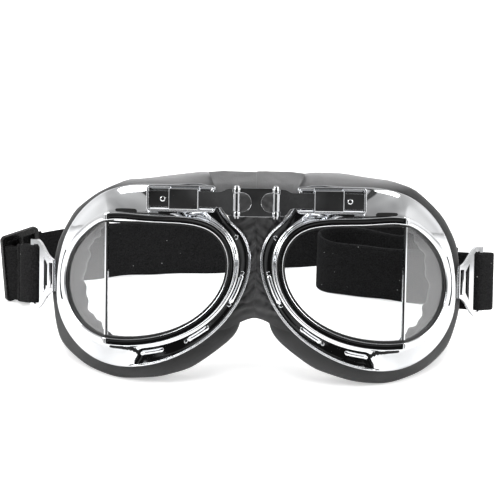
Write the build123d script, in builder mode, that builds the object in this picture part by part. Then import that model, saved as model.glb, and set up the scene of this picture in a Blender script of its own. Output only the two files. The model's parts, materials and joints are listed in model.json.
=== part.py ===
"""Split-lens motorcycle goggles, standing on a table as they are set down after use.

The two eyecups hang on a bridge plate by vertical pins. Each has a chrome flange, a folded
chrome bezel with a flat front pane and a swept-back side pane, and a leather cushion. An elastic
strap on two swinging brackets stands on its edge behind them.

Goggles axes, in mm: x across the face, y from the lenses towards the face, z up the face, with
the origin on the bridge at the hinge pins' plane. Everything is built there, on the +x side where
it comes in pairs, and is then leaned back and set down on the table.
"""

import os
from math import atan2, cos, degrees, radians, sin

from build123d import *

# ---------------------------------------------------------------- driving dimensions
LEAN = 22.0  # the goggles lean back by this angle, top towards +y
TOE = 6.0  # each eyecup's front is turned back about its pin
SIDE_TURN = 42.0  # the side pane's angle to the goggles' front
PIN_X = 8.6
BEND_U = 66.8  # the fold between front and side panes, along the flat pattern
FLOOR_DROP = 53.0  # height of the goggles' origin above the table
SHIFT_X = 9
SHIFT_Y = -59.4

BEZEL_FACE = 3.2
BEZEL_BACK = -0.9
BEZEL_FRONT = 1.5
SEAT_BACK = -2.3
GASKET_FACE = 0.9
PANE_BACK = -1.7
PANE_FRONT = -0.1
MULLION_WIDTH = 1.5
SHELL = 1.4
SEAT_MARGIN = 1.2

LIP_DEPTH_NOSE = 9.0
LIP_DEPTH_WRAP = 29.0
LIP_WRAP_START = 10.0
LIP_WRAP_SPAN = 84.0

VENT_LENGTH = 11.0
VENT_WIDTH = 1.8
VENTS = 8

ARM_Z = 34.1
PIN_Z = 33.1
PLATE_THICK = 1.2
PLATE_HEIGHT = 12.6
PIN_RADIUS = 0.75
KNUCKLE_RADIUS = 1.5
KNUCKLE_HALF = 3.9
NOTCH_RADIUS = 4.2
TONGUE_END = 47.8
TONGUE_HEIGHT = 6.9
LEAF_START = 10.5
LEAF_HEIGHT = 11.8
FLARE_END = 16.6
KEEPER = (25.6, 38.7)
KEEPER_HEIGHT = 9.3
KEEPER_WALL = 0.8
RIVET_U = 41.4
TRAY = (18.2, 49.0)
TRAY_Z = (28.5, 40.3)
TRAY_WALL = 0.9
TRAY_FLOOR = -1.5

CUSHION_THICK = 16.0
CUSHION_MARGIN = 3.8
CUSHION_BELOW = 2.1
CUSHION_BELOW_FROM = -18.0
CUSHION_BELOW_SPAN = 20.0
CUSHION_PAD = 12.0

BRACKET_TURN = 38.0
BRACKET_AXIS = (95.5, 39.0, -3.4)
BRACKET_THICK = 1.4
ROD_RADIUS = 0.9
ROD_HALF = 7.5
LUG_RADIUS = 1.7
LUG_HALF = 5.5
WINDOW_END = 2.9
MID_BAR = (7.6, 9.6)
OUTER_BAR = (13.6, 16.0)
SLOT_HALF = 14.4
ARM_HALF = 16.6

STRAP_WIDTH = 30.0
STRAP_THICK = 1.6
LOOP_WIDTH = 27.0
LOOP_THICK = 1.4

SLIDER_HEIGHT = 36.4
SLIDER_HALF = 11.0
SLIDER_THICK = 2.4
SLIDER_RAIL = 3.0
SLIDER_BAR = 2.8
SLIDER_TURN = 45.0
SLIDER_AT = (-121.2, 82.0)

# The strap's way round on the table, from the slider, past the back, round behind the right
# eyecup, round again in the middle and out towards the right bracket.
STRAP_WAY = [
    (-112.3, 94.6),
    (-99.0, 97.6),
    (-58.0, 104.5),
    (-20.0, 110.5),
    (20.0, 121.0),
    (58.0, 127.5),
    (86.0, 123.0),
    (96.5, 110.0),
    (86.0, 99.5),
    (62.0, 105.5),
    (44.0, 109.5),
    (32.6, 102.0),
    (35.0, 93.0),
    (48.0, 88.2),
    (72.0, 83.0),
    (86.0, 80.5),
]

# Pairs of points round one eyecup: the bezel's outer corner in the flat pattern (u, z), where u
# runs along the folded face, and the flange's lip (x, z) straight ahead of the face.
EYE_POINTS = [
    ((66.8, 27.3), (69.5, 36.3)),
    ((50.0, 27.0), (53.0, 40.2)),
    ((38.0, 26.6), (36.0, 40.6)),
    ((27.0, 25.7), (21.5, 40.2)),
    ((21.0, 24.1), (17.4, 37.6)),
    ((18.0, 22.6), (16.6, 31.2)),
    ((15.0, 20.3), (13.0, 25.9)),
    ((11.4, 15.6), (6.6, 20.0)),
    ((9.2, 9.0), (2.6, 11.5)),
    ((10.2, -3.0), (4.0, -4.0)),
    ((18.0, -16.0), (13.4, -20.6)),
    ((31.2, -25.7), (29.5, -33.9)),
    ((49.0, -31.1), (49.5, -41.5)),
    ((66.8, -31.3), (69.3, -41.1)),
    ((84.0, -25.9), (85.6, -31.2)),
    ((94.6, -15.0), (93.1, -17.6)),
    ((97.3, -3.0), (93.8, -4.0)),
    ((92.0, 11.6), (90.6, 12.0)),
    ((80.0, 22.0), (81.6, 27.0)),
]


# ---------------------------------------------------------------- planes and curves
def face_plane(angle, x, y):
    """An upright plane through (x, y), facing forwards, turned back by the angle."""
    turn = radians(angle)
    return Plane(origin=(x, y, 0), x_dir=(cos(turn), sin(turn), 0), z_dir=(sin(turn), -cos(turn), 0))


FRONT = face_plane(TOE, PIN_X, 0)
BEND_X = PIN_X + (BEND_U - PIN_X) * cos(radians(TOE))
BEND_Y = (BEND_U - PIN_X) * sin(radians(TOE))
SIDE = face_plane(SIDE_TURN, BEND_X, BEND_Y)
MITRE_TURN = radians((TOE + SIDE_TURN) / 2)
MITRE = Plane(origin=(BEND_X, BEND_Y, 0), z_dir=(cos(MITRE_TURN), sin(MITRE_TURN), 0))


def folded(u, z, lift):
    """The point of the folded face at (u, z) of the flat pattern, lifted towards the front."""
    if u <= BEND_U:
        return FRONT.from_local_coords((u - PIN_X, z, lift))
    return SIDE.from_local_coords((u - BEND_U, z, lift))


def lip_depth(x):
    """How far back the flange's lip lies: level at the nose, wrapping back at the temple."""
    wrap = max(0.0, x - LIP_WRAP_START) / LIP_WRAP_SPAN
    return LIP_DEPTH_NOSE + LIP_DEPTH_WRAP * wrap**3


def flange_ring(share, depth):
    """A closed curve a share of the way from the bezel to the lip, at a depth in the flange."""
    points = []
    for (u, z), (lip_x, lip_z) in EYE_POINTS:
        seat = folded(u, z, BEZEL_BACK)
        run = Vector(lip_x, lip_depth(lip_x), lip_z) - seat
        out = run.normalized()
        inward = (Vector(0, 1, 0) - out * out.Y).normalized()
        points.append(seat + run * share + inward * depth)
    return Edge.make_spline(points, periodic=True)


def cushion_ring(margin, back):
    """A closed curve round the cushion: outside the lip by the margin, less at the nose, more below."""
    points = []
    for (u, z), (lip_x, lip_z) in EYE_POINTS:
        seat = folded(u, z, BEZEL_BACK)
        outward = Vector(lip_x - seat.X, 0, lip_z - seat.Z).normalized()
        nose = max(0.0, 1 - lip_x / 12)
        deeper = 5 * max(0.0, 1 - lip_x / 30)
        step = margin - 8.4 * nose
        if margin < 0:
            step = margin
        step += CUSHION_BELOW * min(1.0, max(0.0, CUSHION_BELOW_FROM - lip_z) / CUSHION_BELOW_SPAN)
        points.append(Vector(lip_x, lip_depth(lip_x) + back + deeper, lip_z) + outward * step)
    return Edge.make_spline(points, periodic=True)


def ring_solid(rings):
    """A closed band through the rings, ruled from each to the next and back to the first."""
    walls = [Face.make_surface_from_curves(a, b) for a, b in zip(rings, rings[1:] + rings[:1])]
    return Solid(Shell(walls))


# ---------------------------------------------------------------- the folded face
def outline(grow):
    """The flat pattern's outline about the fold, grown outwards all round."""
    corners = [Vector(u - BEND_U, z) for (u, z), _ in EYE_POINTS]
    points = []
    for before, here, after in zip(corners[-1:] + corners, corners, corners[1:] + corners[:1]):
        tangent = (after - before).normalized()
        points.append(here + Vector(tangent.Y, -tangent.X) * grow)
    return points


with BuildSketch() as pattern:
    with BuildLine():
        Spline(outline(0), periodic=True)
    make_face()

with BuildSketch() as opening:
    with BuildLine():
        Spline(outline(-BEZEL_FACE), periodic=True)
    make_face()

with BuildSketch() as sight:
    with BuildLine():
        Spline(outline(-BEZEL_FACE - GASKET_FACE), periodic=True)
    make_face()

with BuildSketch() as bezel_ring:
    add(pattern.sketch)
    add(opening.sketch, mode=Mode.SUBTRACT)

with BuildSketch() as seat_ring:
    with BuildLine():
        Spline(outline(SEAT_MARGIN), periodic=True)
    make_face()
    add(opening.sketch, mode=Mode.SUBTRACT)

with BuildSketch() as gasket_ring:
    add(opening.sketch)
    add(sight.sketch, mode=Mode.SUBTRACT)

with BuildSketch() as mullion_strip:
    with Locations((0, -3)):
        Rectangle(MULLION_WIDTH, 80)
    add(sight.sketch, mode=Mode.INTERSECT)

BENT_FRONT = face_plane(TOE, BEND_X, BEND_Y)


def leaf(sketch, low, high, plane, keep):
    """One side of the fold: the pattern raised from the plane and cut at the mitre."""
    with BuildPart() as half:
        with BuildSketch(plane.offset(low)):
            add(sketch)
        extrude(amount=high - low)
        split(bisect_by=MITRE, keep=keep)
    return half.part


def folded_solid(sketch, low, high):
    """The flat pattern raised from low to high and folded at the bend."""
    with BuildPart() as whole:
        add(leaf(sketch, low, high, BENT_FRONT, Keep.BOTTOM))
        add(leaf(sketch, low, high, SIDE, Keep.TOP))
    return whole.part


def face_block(u_range, z_range, low, high):
    """A box on the front face, between two lifts."""
    with BuildPart() as block:
        with BuildSketch(FRONT.offset(low)):
            with Locations(((u_range[0] + u_range[1]) / 2 - PIN_X, (z_range[0] + z_range[1]) / 2)):
                Rectangle(u_range[1] - u_range[0], z_range[1] - z_range[0])
        extrude(amount=high - low)
    return block.part


def inset(span, wall):
    """The span with a wall's thickness taken off at each end."""
    return (span[0] + wall, span[1] - wall)


# ---------------------------------------------------------------- eyecup
with BuildPart() as frame:
    add(folded_solid(seat_ring.sketch, SEAT_BACK, BEZEL_BACK))
    add(
        ring_solid(
            [
                flange_ring(0.06, 0.35),
                flange_ring(0.35, 0.6),
                flange_ring(0.96, -0.2),
                flange_ring(1.05, 0.6),
                flange_ring(1.0, 1.8),
                flange_ring(0.35, 0.6 + SHELL),
                flange_ring(0.06, 1.05),
            ]
        )
    )
    # the tray that the arm lies in, with a raised rim, and hollow behind
    add(face_block(TRAY, TRAY_Z, TRAY_FLOOR - 7.5, TRAY_FLOOR + 1.0))
    add(
        face_block(inset(TRAY, TRAY_WALL), inset(TRAY_Z, TRAY_WALL), TRAY_FLOOR, TRAY_FLOOR + 4),
        mode=Mode.SUBTRACT,
    )
    add(
        face_block(inset(TRAY, TRAY_WALL), inset(TRAY_Z, TRAY_WALL), TRAY_FLOOR - 11, TRAY_FLOOR - 1.2),
        mode=Mode.SUBTRACT,
    )
    # the arm passes out over the rim at the nose end
    add(
        face_block((TRAY[0] - 1, TRAY[0] + 2), (30.0, 38.2), TRAY_FLOOR, TRAY_FLOOR + 4),
        mode=Mode.SUBTRACT,
    )
    # vents beside the bezel, from the fold along the brow, down the nose and along the cheek
    with BuildSketch(FRONT.offset(BEZEL_BACK - 6)) as vents:
        with BuildLine(mode=Mode.PRIVATE) as vent_line:
            Spline([(u - PIN_X, z) for (u, z), _ in EYE_POINTS], periodic=True)
        track = vent_line.edges()[0]
        for k in range(VENTS):
            along = 0.025 + 0.57 * k / (VENTS - 1)
            tangent = track % along
            side = Vector(tangent.Y, -tangent.X) * -2.1
            with Locations(Location(track @ along + side, (0, 0, degrees(atan2(tangent.Y, tangent.X))))):
                SlotOverall(VENT_LENGTH, VENT_WIDTH)
    extrude(amount=8, mode=Mode.SUBTRACT)
    # rivet hole
    with BuildSketch(FRONT.offset(TRAY_FLOOR - 3)):
        with Locations((RIVET_U - PIN_X, ARM_Z)):
            Circle(0.6)
    extrude(amount=5, mode=Mode.SUBTRACT)
    # lug for the strap bracket's rod, with a short foot on the lip
    with BuildSketch(Plane.XY.offset(BRACKET_AXIS[2] - LUG_HALF)):
        with Locations(BRACKET_AXIS[:2]):
            Circle(LUG_RADIUS)
        with Locations((BRACKET_AXIS[0] - 1.6, BRACKET_AXIS[1] - 0.6)):
            Rectangle(2.4, 2.0)
    extrude(amount=2 * LUG_HALF)
    with BuildSketch(Plane.XY.offset(BRACKET_AXIS[2] - LUG_HALF)):
        with Locations(BRACKET_AXIS[:2]):
            Circle(ROD_RADIUS + 0.06)
    extrude(amount=2 * LUG_HALF, mode=Mode.SUBTRACT)

with BuildPart() as bezel:
    add(folded_solid(bezel_ring.sketch, BEZEL_BACK, BEZEL_FRONT))

with BuildPart() as gasket:
    add(folded_solid(gasket_ring.sketch, SEAT_BACK, BEZEL_FRONT - 0.9))

with BuildPart() as mullion:
    add(folded_solid(mullion_strip.sketch, PANE_BACK - 0.3, PANE_FRONT + 0.3))

with BuildPart() as front_pane:
    add(leaf(sight.sketch, PANE_BACK, PANE_FRONT, BENT_FRONT, Keep.BOTTOM))
    add(mullion.part, mode=Mode.SUBTRACT)

with BuildPart() as side_pane:
    add(leaf(sight.sketch, PANE_BACK, PANE_FRONT, SIDE, Keep.TOP))
    add(mullion.part, mode=Mode.SUBTRACT)

with BuildPart() as cushion:
    add(
        ring_solid(
            [
                cushion_ring(-6.0, 4.0),
                cushion_ring(CUSHION_MARGIN - 1.0, 4.0),
                cushion_ring(CUSHION_MARGIN, CUSHION_THICK / 2),
                cushion_ring(CUSHION_MARGIN - 2.4, CUSHION_THICK),
                cushion_ring(-CUSHION_PAD, CUSHION_THICK),
            ]
        )
    )

# ---------------------------------------------------------------- arm, keeper and rivet
with BuildPart() as arm:
    with BuildSketch(FRONT.offset(-PLATE_THICK / 2)):
        with BuildLine():
            Polyline(
                (FLARE_END - PIN_X, ARM_Z + TONGUE_HEIGHT / 2),
                (TONGUE_END - PIN_X, ARM_Z + TONGUE_HEIGHT / 2),
                (TONGUE_END - PIN_X, ARM_Z - TONGUE_HEIGHT / 2),
                (FLARE_END - PIN_X, ARM_Z - TONGUE_HEIGHT / 2),
            )
            Spline(
                [
                    (FLARE_END - PIN_X, ARM_Z - TONGUE_HEIGHT / 2),
                    (LEAF_START - PIN_X + 1.2, PIN_Z - LEAF_HEIGHT / 2),
                ],
                tangents=[(-1, 0), (-1, 0)],
            )
            Polyline(
                (LEAF_START - PIN_X + 1.2, PIN_Z - LEAF_HEIGHT / 2),
                (LEAF_START - PIN_X, PIN_Z - LEAF_HEIGHT / 2),
                (LEAF_START - PIN_X, PIN_Z + LEAF_HEIGHT / 2),
                (LEAF_START - PIN_X + 1.2, PIN_Z + LEAF_HEIGHT / 2),
            )
            Spline(
                [
                    (LEAF_START - PIN_X + 1.2, PIN_Z + LEAF_HEIGHT / 2),
                    (FLARE_END - PIN_X, ARM_Z + TONGUE_HEIGHT / 2),
                ],
                tangents=[(1, 0), (1, 0)],
            )
        make_face()
        with Locations(((LEAF_START - PIN_X) / 2 + 0.2, PIN_Z)):
            Rectangle(LEAF_START - PIN_X + 0.4, 2 * KNUCKLE_HALF)
    extrude(amount=PLATE_THICK)
    # knuckle round the pin
    with BuildSketch(Plane.XY.offset(PIN_Z - KNUCKLE_HALF)):
        with Locations((PIN_X, 0)):
            Circle(KNUCKLE_RADIUS)
    extrude(amount=2 * KNUCKLE_HALF)
    with BuildSketch(Plane.XY.offset(PIN_Z - KNUCKLE_HALF)):
        with Locations((PIN_X, 0)):
            Circle(PIN_RADIUS + 0.05)
    extrude(amount=2 * KNUCKLE_HALF, mode=Mode.SUBTRACT)
    with BuildSketch(FRONT.offset(-PLATE_THICK)):
        with Locations((RIVET_U - PIN_X, ARM_Z)):
            Circle(0.6)
    extrude(amount=2 * PLATE_THICK, mode=Mode.SUBTRACT)

KEEPER_Z = (ARM_Z - KEEPER_HEIGHT / 2, ARM_Z + KEEPER_HEIGHT / 2)
with BuildPart() as keeper:
    add(face_block(KEEPER, KEEPER_Z, TRAY_FLOOR, TRAY_FLOOR + 3.0))
    add(
        face_block(
            (KEEPER[0] - 1, KEEPER[1] + 1),
            inset(KEEPER_Z, KEEPER_WALL),
            TRAY_FLOOR + KEEPER_WALL,
            TRAY_FLOOR + 3.0 - KEEPER_WALL,
        ),
        mode=Mode.SUBTRACT,
    )

with BuildPart() as rivet:
    with BuildSketch(FRONT.offset(TRAY_FLOOR - 1.2)):
        with Locations((RIVET_U - PIN_X, ARM_Z)):
            Circle(0.6)
    extrude(amount=PLATE_THICK / 2 - TRAY_FLOOR + 1.2)
    with BuildSketch(FRONT.offset(PLATE_THICK / 2)):
        with Locations((RIVET_U - PIN_X, ARM_Z)):
            Circle(1.2)
    extrude(amount=0.7)
    fillet(rivet.faces().sort_by(Axis.Y)[0].edges(), radius=0.5)

# ---------------------------------------------------------------- bridge and pins
with BuildPart() as bridge:
    with BuildSketch(Plane.XZ.offset(-PLATE_THICK / 2)):
        with Locations((0, PIN_Z)):
            Rectangle(2 * PIN_X, PLATE_HEIGHT)
        for side in (-1, 1):
            with Locations((side * (PIN_X - 2.2), PIN_Z)):
                Circle(NOTCH_RADIUS, mode=Mode.SUBTRACT)
            with Locations((side * (PIN_X + 1), PIN_Z)):
                Rectangle(6.4, 2 * NOTCH_RADIUS, mode=Mode.SUBTRACT)
    extrude(amount=PLATE_THICK)
    for low, high in (
        (PIN_Z - PLATE_HEIGHT / 2, PIN_Z - NOTCH_RADIUS),
        (PIN_Z + NOTCH_RADIUS, PIN_Z + PLATE_HEIGHT / 2),
    ):
        with BuildSketch(Plane.XY.offset(low)):
            with Locations((-PIN_X, 0), (PIN_X, 0)):
                Circle(KNUCKLE_RADIUS)
        extrude(amount=high - low)
        with BuildSketch(Plane.XY.offset(low)):
            with Locations((-PIN_X, 0), (PIN_X, 0)):
                Circle(PIN_RADIUS)
        extrude(amount=high - low, mode=Mode.SUBTRACT)

with BuildPart() as pin:
    with BuildSketch(Plane.XY.offset(PIN_Z - PLATE_HEIGHT / 2)):
        Circle(PIN_RADIUS)
    extrude(amount=PLATE_HEIGHT)
    with BuildSketch(Plane.XY.offset(PIN_Z + PLATE_HEIGHT / 2)):
        Circle(1.4)
    extrude(amount=1.2)
    fillet(pin.faces().sort_by(Axis.Z)[-1].edges(), radius=1.0)
    with BuildSketch(Plane.XY.offset(PIN_Z - PLATE_HEIGHT / 2 - 0.9)):
        Circle(1.1)
    extrude(amount=0.9)

# ---------------------------------------------------------------- nose leather
with BuildPart() as nose_leather:
    with BuildSketch(Plane.XZ.offset(-11.3)):
        with BuildLine():
            Polyline((0, 45.0), (16.5, 45.0), (15.5, 36.0))
            Spline([(15.5, 36.0), (9.0, 24.0), (4.8, 13.0), (5.0, 0.0), (11.0, -14.0), (16.0, -21.5)])
            Polyline((16.0, -21.5), (9.0, -23.5))
            Spline([(9.0, -23.5), (4.5, -20.5), (0, -19.0)])
            Line((0, -19.0), (0, 45.0))
        make_face()
        mirror(about=Plane.YZ)
    extrude(amount=-2.0)

# ---------------------------------------------------------------- strap bracket
bracket_plane = Plane(
    origin=BRACKET_AXIS,
    x_dir=(cos(radians(BRACKET_TURN)), sin(radians(BRACKET_TURN)), 0),
    z_dir=(sin(radians(BRACKET_TURN)), -cos(radians(BRACKET_TURN)), 0),
)
with BuildPart() as bracket:
    with BuildSketch(bracket_plane.offset(-BRACKET_THICK / 2)):
        with BuildLine():
            Line((0, 0), (0, ROD_HALF))
            Spline([(0, ROD_HALF), (3.7, 9.4), (7.2, 13.4), (11.0, ARM_HALF)])
            Polyline((11.0, ARM_HALF), (OUTER_BAR[1], ARM_HALF), (OUTER_BAR[1], 0))
            Line((OUTER_BAR[1], 0), (0, 0))
        make_face()
        mirror(about=Plane.XZ)
        # window for the lug, lightening hole, and the slot for the strap
        with Locations((WINDOW_END / 2, 0)):
            Rectangle(WINDOW_END, 2 * LUG_HALF + 0.8, mode=Mode.SUBTRACT)
        with BuildLine() as hole:
            Polyline((4.1, 5.0), (6.6, 8.6), (6.6, -8.6), (4.1, -5.0), (4.1, 5.0))
        make_face(hole.edges(), mode=Mode.SUBTRACT)
        with BuildLine() as slot:
            Polyline(
                (MID_BAR[1], 13.0),
                (MID_BAR[1] + 1.2, SLOT_HALF),
                (OUTER_BAR[0], SLOT_HALF),
                (OUTER_BAR[0], -SLOT_HALF),
                (MID_BAR[1] + 1.2, -SLOT_HALF),
                (MID_BAR[1], -13.0),
                (MID_BAR[1], 13.0),
            )
        make_face(slot.edges(), mode=Mode.SUBTRACT)
    extrude(amount=BRACKET_THICK)
    with BuildSketch(Plane.XY.offset(BRACKET_AXIS[2] - ROD_HALF)):
        with Locations(BRACKET_AXIS[:2]):
            Circle(ROD_RADIUS)
    extrude(amount=2 * ROD_HALF)


def strap_loop(points):
    """The webbing's run round the bracket's outer bar, along the points of its plan."""
    plan = Plane(origin=bracket_plane.origin, x_dir=bracket_plane.x_dir, z_dir=(0, 0, -1))
    with BuildPart() as loop:
        with BuildSketch(plan.offset(-LOOP_WIDTH / 2)):
            with BuildLine():
                FilletPolyline(*points, radius=1.0)
            trace(line_width=LOOP_THICK)
        extrude(amount=LOOP_WIDTH)
    return loop.part


with BuildPart() as right_loop:
    add(
        strap_loop(
            [(9.8, -7.0), (11.5, -1.0), (11.9, 1.9), (21.0, 2.1), (22.6, -1.2), (19.6, -8.0)]
        )
    )

with BuildPart() as left_loop:
    add(strap_loop([(22.0, 2.0), (12.2, 1.9), (11.6, -2.2), (22.0, -2.8)]))

# ---------------------------------------------------------------- strap and slider on the table
STAND = Location((SHIFT_X, SHIFT_Y, FLOOR_DROP), (-LEAN, 0, 0))


def on_table(x, y):
    """A point of the table, measured from below the bridge, in the part's own frame."""
    return (x + SHIFT_X, y + SHIFT_Y)


with BuildPart() as strap_back:
    with BuildSketch():
        with BuildLine():
            Spline([on_table(x, y) for x, y in STRAP_WAY])
        trace(line_width=STRAP_THICK)
    extrude(amount=STRAP_WIDTH)

slider_turn = radians(SLIDER_TURN)
slider_plane = Plane(
    origin=(*on_table(*SLIDER_AT), SLIDER_HEIGHT / 2),
    x_dir=(cos(slider_turn), sin(slider_turn), 0),
    z_dir=(sin(slider_turn), -cos(slider_turn), 0),
)
with BuildPart() as slider:
    with BuildSketch(slider_plane.offset(-SLIDER_THICK / 2)):
        RectangleRounded(2 * SLIDER_HALF, SLIDER_HEIGHT, 2.5)
        slot_length = SLIDER_HALF - 1.5 * SLIDER_BAR
        for side in (-1, 1):
            with Locations((side * (slot_length + SLIDER_BAR) / 2, 0)):
                Rectangle(slot_length, SLIDER_HEIGHT - 2 * SLIDER_RAIL, mode=Mode.SUBTRACT)
    extrude(amount=SLIDER_THICK)

slider_plan = Plane(
    origin=(*on_table(*SLIDER_AT), SLIDER_RAIL + 0.2),
    x_dir=slider_plane.x_dir,
    z_dir=(0, 0, 1),
)
with BuildPart() as strap_weave:
    with BuildSketch(slider_plan):
        with BuildLine():
            FilletPolyline((-4.8, -4.2), (-4.8, 2.5), (13.2, 2.5), radius=1.2)
        trace(line_width=1.5)
    extrude(amount=STRAP_WIDTH)


def section(point, forward, lean):
    """A plane across the strap at a point, facing forward and leaning back."""
    tilt = radians(lean)
    forward = Vector(*forward).normalized()
    up = Vector(0, sin(tilt), cos(tilt))
    up = (up - forward * up.dot(forward)).normalized()
    return Plane(origin=point, x_dir=up.cross(forward), z_dir=forward)


def leaving(side, along, behind, ahead, gap):
    """A plane across the strap where it leaves the bracket, heading along and behind it."""
    start = bracket_plane.from_local_coords((along, 0, -behind))
    end = bracket_plane.from_local_coords((along + ahead[0], 0, -behind - ahead[1]))
    forward = (end - start).normalized()
    start = start + forward * gap
    flat = Plane(
        origin=(side * start.X, start.Y, start.Z),
        x_dir=(-side * forward.Y, forward.X, 0),
        z_dir=(side * forward.X, forward.Y, 0),
    )
    return Plane(STAND * flat.location)


def run(sections):
    """A smooth length of strap through (plane, thickness, width) sections."""
    with BuildPart() as length:
        for plane, thick, width in sections:
            with BuildSketch(plane):
                Rectangle(thick, width)
        loft()
    return length.part


table_end = on_table(STRAP_WAY[-1][0] + 0.6, STRAP_WAY[-1][1] - 0.1)
with BuildPart() as strap_right_run:
    add(
        run(
            [
                (leaving(1, 9.8, 7.0, (-1.7, 6.0), 0.4), LOOP_THICK, LOOP_WIDTH),
                (section((102.0, 12.0, 22.0), (-0.6, 0.8, -0.3), LEAN / 2), 1.5, 28.5),
                (
                    section((*table_end, STRAP_WIDTH / 2), (-0.985, 0.17, 0), 0),
                    STRAP_THICK,
                    STRAP_WIDTH,
                ),
            ]
        )
    )

slot_end = slider_plan.from_local_coords((-4.8, -4.6, STRAP_WIDTH / 2))
with BuildPart() as strap_left_run:
    add(
        run(
            [
                (leaving(-1, 22.0, 0.4, (1.0, 0.0), 0.4), 5.6, LOOP_WIDTH),
                (section((-112.3, 8.0, 22.0), (-0.4, 0.9, -0.2), LEAN / 2), 4.0, 28.5),
                (section(slot_end, (-0.707, 0.707, 0), 0), 2.6, STRAP_WIDTH),
            ]
        )
    )

# ---------------------------------------------------------------- placing and writing
TABLE = Plane.XY
pair = {
    "frame": frame,
    "bezel": bezel,
    "gasket": gasket,
    "mullion": mullion,
    "front_pane": front_pane,
    "side_pane": side_pane,
    "cushion": cushion,
    "arm": arm,
    "keeper": keeper,
    "arm_rivet": rivet,
    "strap_bracket": bracket,
}
leaning = {"bridge_plate": bridge.part, "nose_leather": nose_leather.part}
for name, piece in pair.items():
    leaning["right_" + name] = piece.part
    leaning["left_" + name] = mirror(piece.part, about=Plane.YZ)
for name, side in (("left", -1), ("right", 1)):
    leaning[name + "_hinge_pin"] = pin.part.moved(Location((side * PIN_X, 0, 0)))
leaning["right_strap_loop"] = right_loop.part
leaning["left_strap_loop"] = mirror(left_loop.part, about=Plane.YZ)

standing = {
    "strap_back": strap_back.part,
    "strap_slider_weave": strap_weave.part,
    "strap_right_run": strap_right_run.part,
    "strap_left_run": strap_left_run.part,
    "slider": slider.part,
}

os.makedirs("parts", exist_ok=True)
for name, piece in leaning.items():
    placed = piece.moved(STAND)
    if name.endswith("cushion"):
        with BuildPart() as foot:
            add(placed)
            split(bisect_by=TABLE, keep=Keep.TOP)
        placed = foot.part
    placed.label = name
    export_step(placed, f"parts/{name}.step")
for name, piece in standing.items():
    piece.label = name
    export_step(piece, f"parts/{name}.step")
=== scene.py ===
"""Looks of the motorcycle goggles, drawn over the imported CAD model.

The CAD nodes keep their places. Chrome shells, leather and webbing are rebuilt here as smooth
meshes from the same driving dimensions as part.py and replace their CAD nodes.
"""

import json
from math import cos, pi, radians, sin

import bmesh
import bpy
import numpy as np
from mathutils import Matrix, Vector

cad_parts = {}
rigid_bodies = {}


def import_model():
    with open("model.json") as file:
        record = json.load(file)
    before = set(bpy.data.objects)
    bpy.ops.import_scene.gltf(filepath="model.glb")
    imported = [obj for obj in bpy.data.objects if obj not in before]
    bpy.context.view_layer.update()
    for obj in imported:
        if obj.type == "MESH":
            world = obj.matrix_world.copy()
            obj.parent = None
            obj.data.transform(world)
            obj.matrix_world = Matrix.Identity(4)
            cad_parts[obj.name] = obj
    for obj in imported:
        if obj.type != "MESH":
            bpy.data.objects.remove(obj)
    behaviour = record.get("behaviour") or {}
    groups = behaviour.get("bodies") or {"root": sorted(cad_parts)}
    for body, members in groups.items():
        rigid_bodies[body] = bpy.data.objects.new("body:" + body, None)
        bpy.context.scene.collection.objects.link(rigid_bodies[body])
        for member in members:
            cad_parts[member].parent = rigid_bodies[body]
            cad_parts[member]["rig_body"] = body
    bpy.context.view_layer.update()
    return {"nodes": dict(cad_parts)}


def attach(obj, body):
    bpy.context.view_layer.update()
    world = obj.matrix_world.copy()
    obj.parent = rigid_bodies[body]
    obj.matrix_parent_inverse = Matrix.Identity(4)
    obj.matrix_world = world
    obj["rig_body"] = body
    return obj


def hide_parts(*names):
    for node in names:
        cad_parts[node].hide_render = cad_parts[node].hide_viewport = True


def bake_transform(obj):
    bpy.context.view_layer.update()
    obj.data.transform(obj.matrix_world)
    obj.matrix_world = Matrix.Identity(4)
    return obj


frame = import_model()
nodes = frame["nodes"]

# ---------------- driving dimensions, in mm
# how the goggles stand: leaned back on their lower edge
LEAN = radians(22.0)
SHIFT_X = 9.0
SHIFT_Y = -59.4
FLOOR_DROP = 53.0

# one eye's face: turned at the hinge pin, then folded back at the temple
PIN_X = 8.6
TOE = radians(6.0)
BEND_U = 66.8
SIDE_TURN = radians(42.0)
FOLD_HALF = 0.8

# the bezel's section, and how far back the flange's lip lies
BEZEL_FACE = 3.2
BEZEL_BACK = -0.9
BEZEL_FRONT = 1.5
EDGE_ROUND = 0.45
LIP_DEPTH_NOSE = 9.0
LIP_DEPTH_WRAP = 29.0
LIP_WRAP_START = 10.0
LIP_WRAP_SPAN = 84.0

STRAP_WIDTH = 30.0
STRAP_THICK = 1.6

# Bezel corner in the flat pattern (u, z) and the flange's lip (x, z), in pairs round one eye.
EYE_POINTS = [
    ((66.8, 27.3), (69.5, 36.3)),
    ((50.0, 27.0), (53.0, 40.2)),
    ((38.0, 26.6), (36.0, 40.6)),
    ((27.0, 25.7), (21.5, 40.2)),
    ((21.0, 24.1), (17.4, 37.6)),
    ((18.0, 22.6), (16.6, 31.2)),
    ((15.0, 20.3), (13.0, 25.9)),
    ((11.4, 15.6), (6.6, 20.0)),
    ((9.2, 9.0), (2.6, 11.5)),
    ((10.2, -3.0), (4.0, -4.0)),
    ((18.0, -16.0), (13.4, -20.6)),
    ((31.2, -25.7), (29.5, -33.9)),
    ((49.0, -31.1), (49.5, -41.5)),
    ((66.8, -31.3), (69.3, -41.1)),
    ((84.0, -25.9), (85.6, -31.2)),
    ((94.6, -15.0), (93.1, -17.6)),
    ((97.3, -3.0), (93.8, -4.0)),
    ((92.0, 11.6), (90.6, 12.0)),
    ((80.0, 22.0), (81.6, 27.0)),
]
# points in each ring round an eye
AROUND = 320
SIDES = ((-1, "left"), (1, "right"))


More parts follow.
